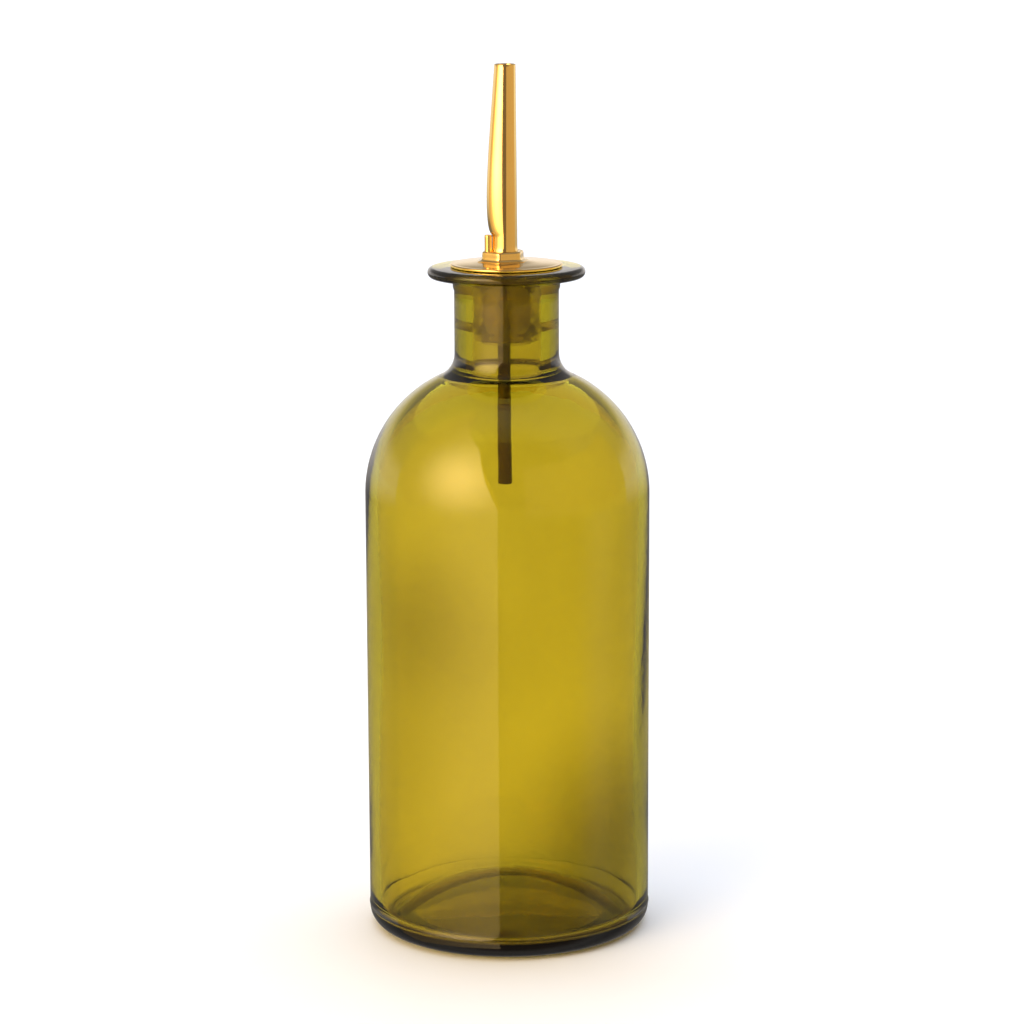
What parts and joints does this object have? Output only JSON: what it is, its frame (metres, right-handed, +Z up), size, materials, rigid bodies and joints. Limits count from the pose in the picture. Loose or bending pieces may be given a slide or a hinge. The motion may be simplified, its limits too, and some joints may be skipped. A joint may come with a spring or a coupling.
{
  "type": "glass oil bottle",
  "caption": "Tinted glass bottle with a straight body, domed shoulder and flat lip, stopped by a metal pourer with a tapered spout, an air vent and a dip tube.",
  "frame": {"origin": "centre of the foot, on the surface that the bottle stands on", "axes": "+Z up along the bottle's axis; -Y is the front; the spout's tip leans towards +Y; the vent is at -X"},
  "size_m": [0.075, 0.075, 0.229],
  "materials": {
    "tinted_glass": "polished, olive yellow, tinted through its thickness",
    "silicone": "satin, slightly translucent",
    "polished_gold_metal": "polished gold plating",
    "clear_plastic": "clear moulded polycarbonate",
    "tube_plastic": "satin"
  },
  "bodies": {
    "bottle": {"glass_bottle": "tinted_glass"},
    "stopper_body": {"stopper": "silicone"},
    "pourer": {"collar_plate": "polished_gold_metal", "spout_boss": "polished_gold_metal", "spout_tube": "polished_gold_metal", "pour_shank": "clear_plastic", "vent_pipe": "polished_gold_metal", "dip_tube": "tube_plastic"}
  },
  "joints": [
    {"name": "pourer_lift", "type": "slide", "parent": "bottle", "child": "stopper_body", "axis": [0, 0, 1], "range_m": [0, 0.065]},
    {"name": "pourer_turn", "type": "hinge", "parent": "stopper_body", "child": "pourer", "pos_m": [0, 0, 0.165], "axis": [0, 0, 1], "continuous": true}
  ]
}
